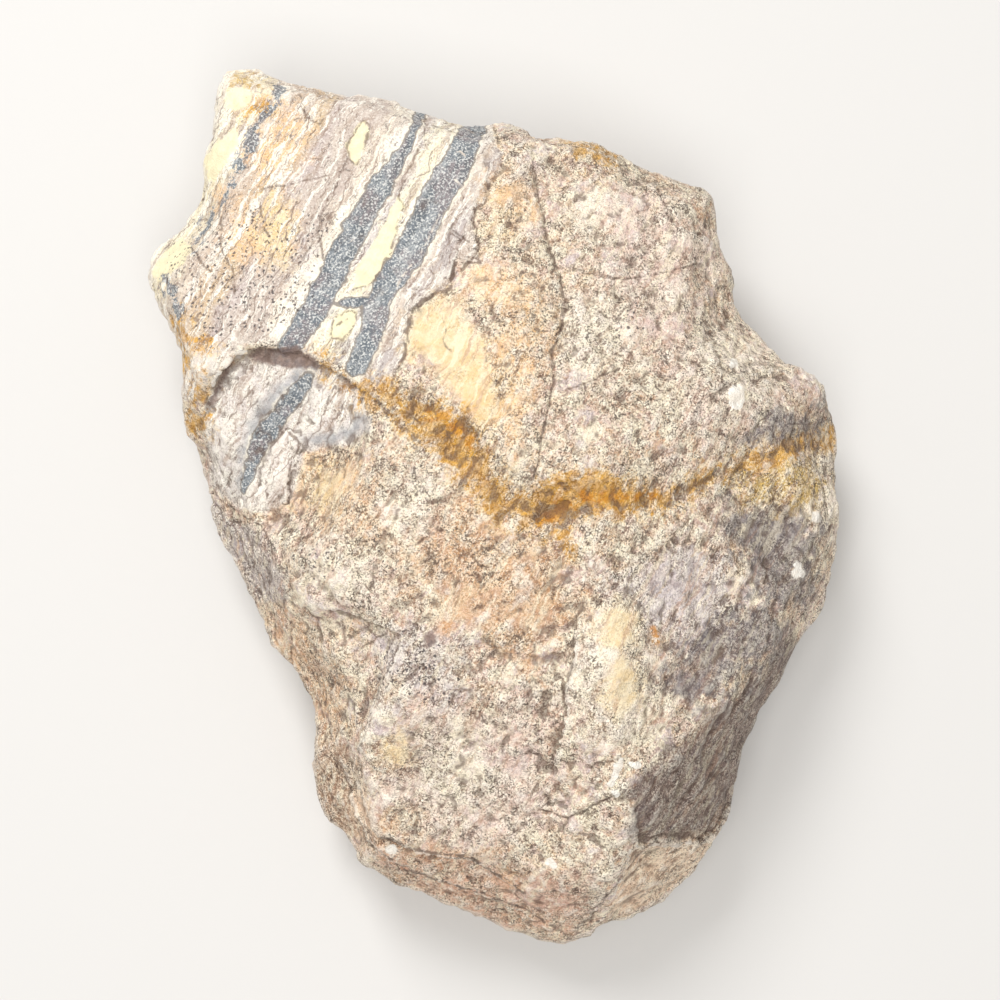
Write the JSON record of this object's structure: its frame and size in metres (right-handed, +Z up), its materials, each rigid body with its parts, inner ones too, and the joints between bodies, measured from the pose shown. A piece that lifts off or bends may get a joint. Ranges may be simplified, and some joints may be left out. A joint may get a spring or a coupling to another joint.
{
  "type": "porcelain jasper, rough stone",
  "caption": "Rough broken piece of pinkish beige porcelain jasper with grey and cream layers and a rusty ochre vein, lying on a flat fracture.",
  "frame": {"origin": "middle of the bounding box's underside, on the surface that the stone rests on", "axes": "+Z up, +Y along the stone's longest extent towards its layered far end, +X to the right as seen from above"},
  "size_m": [0.1188, 0.1492, 0.047],
  "materials": {
    "jasper": null
  },
  "bodies": {
    "root": {"jasper_stone": "jasper"}
  },
  "joints": []
}
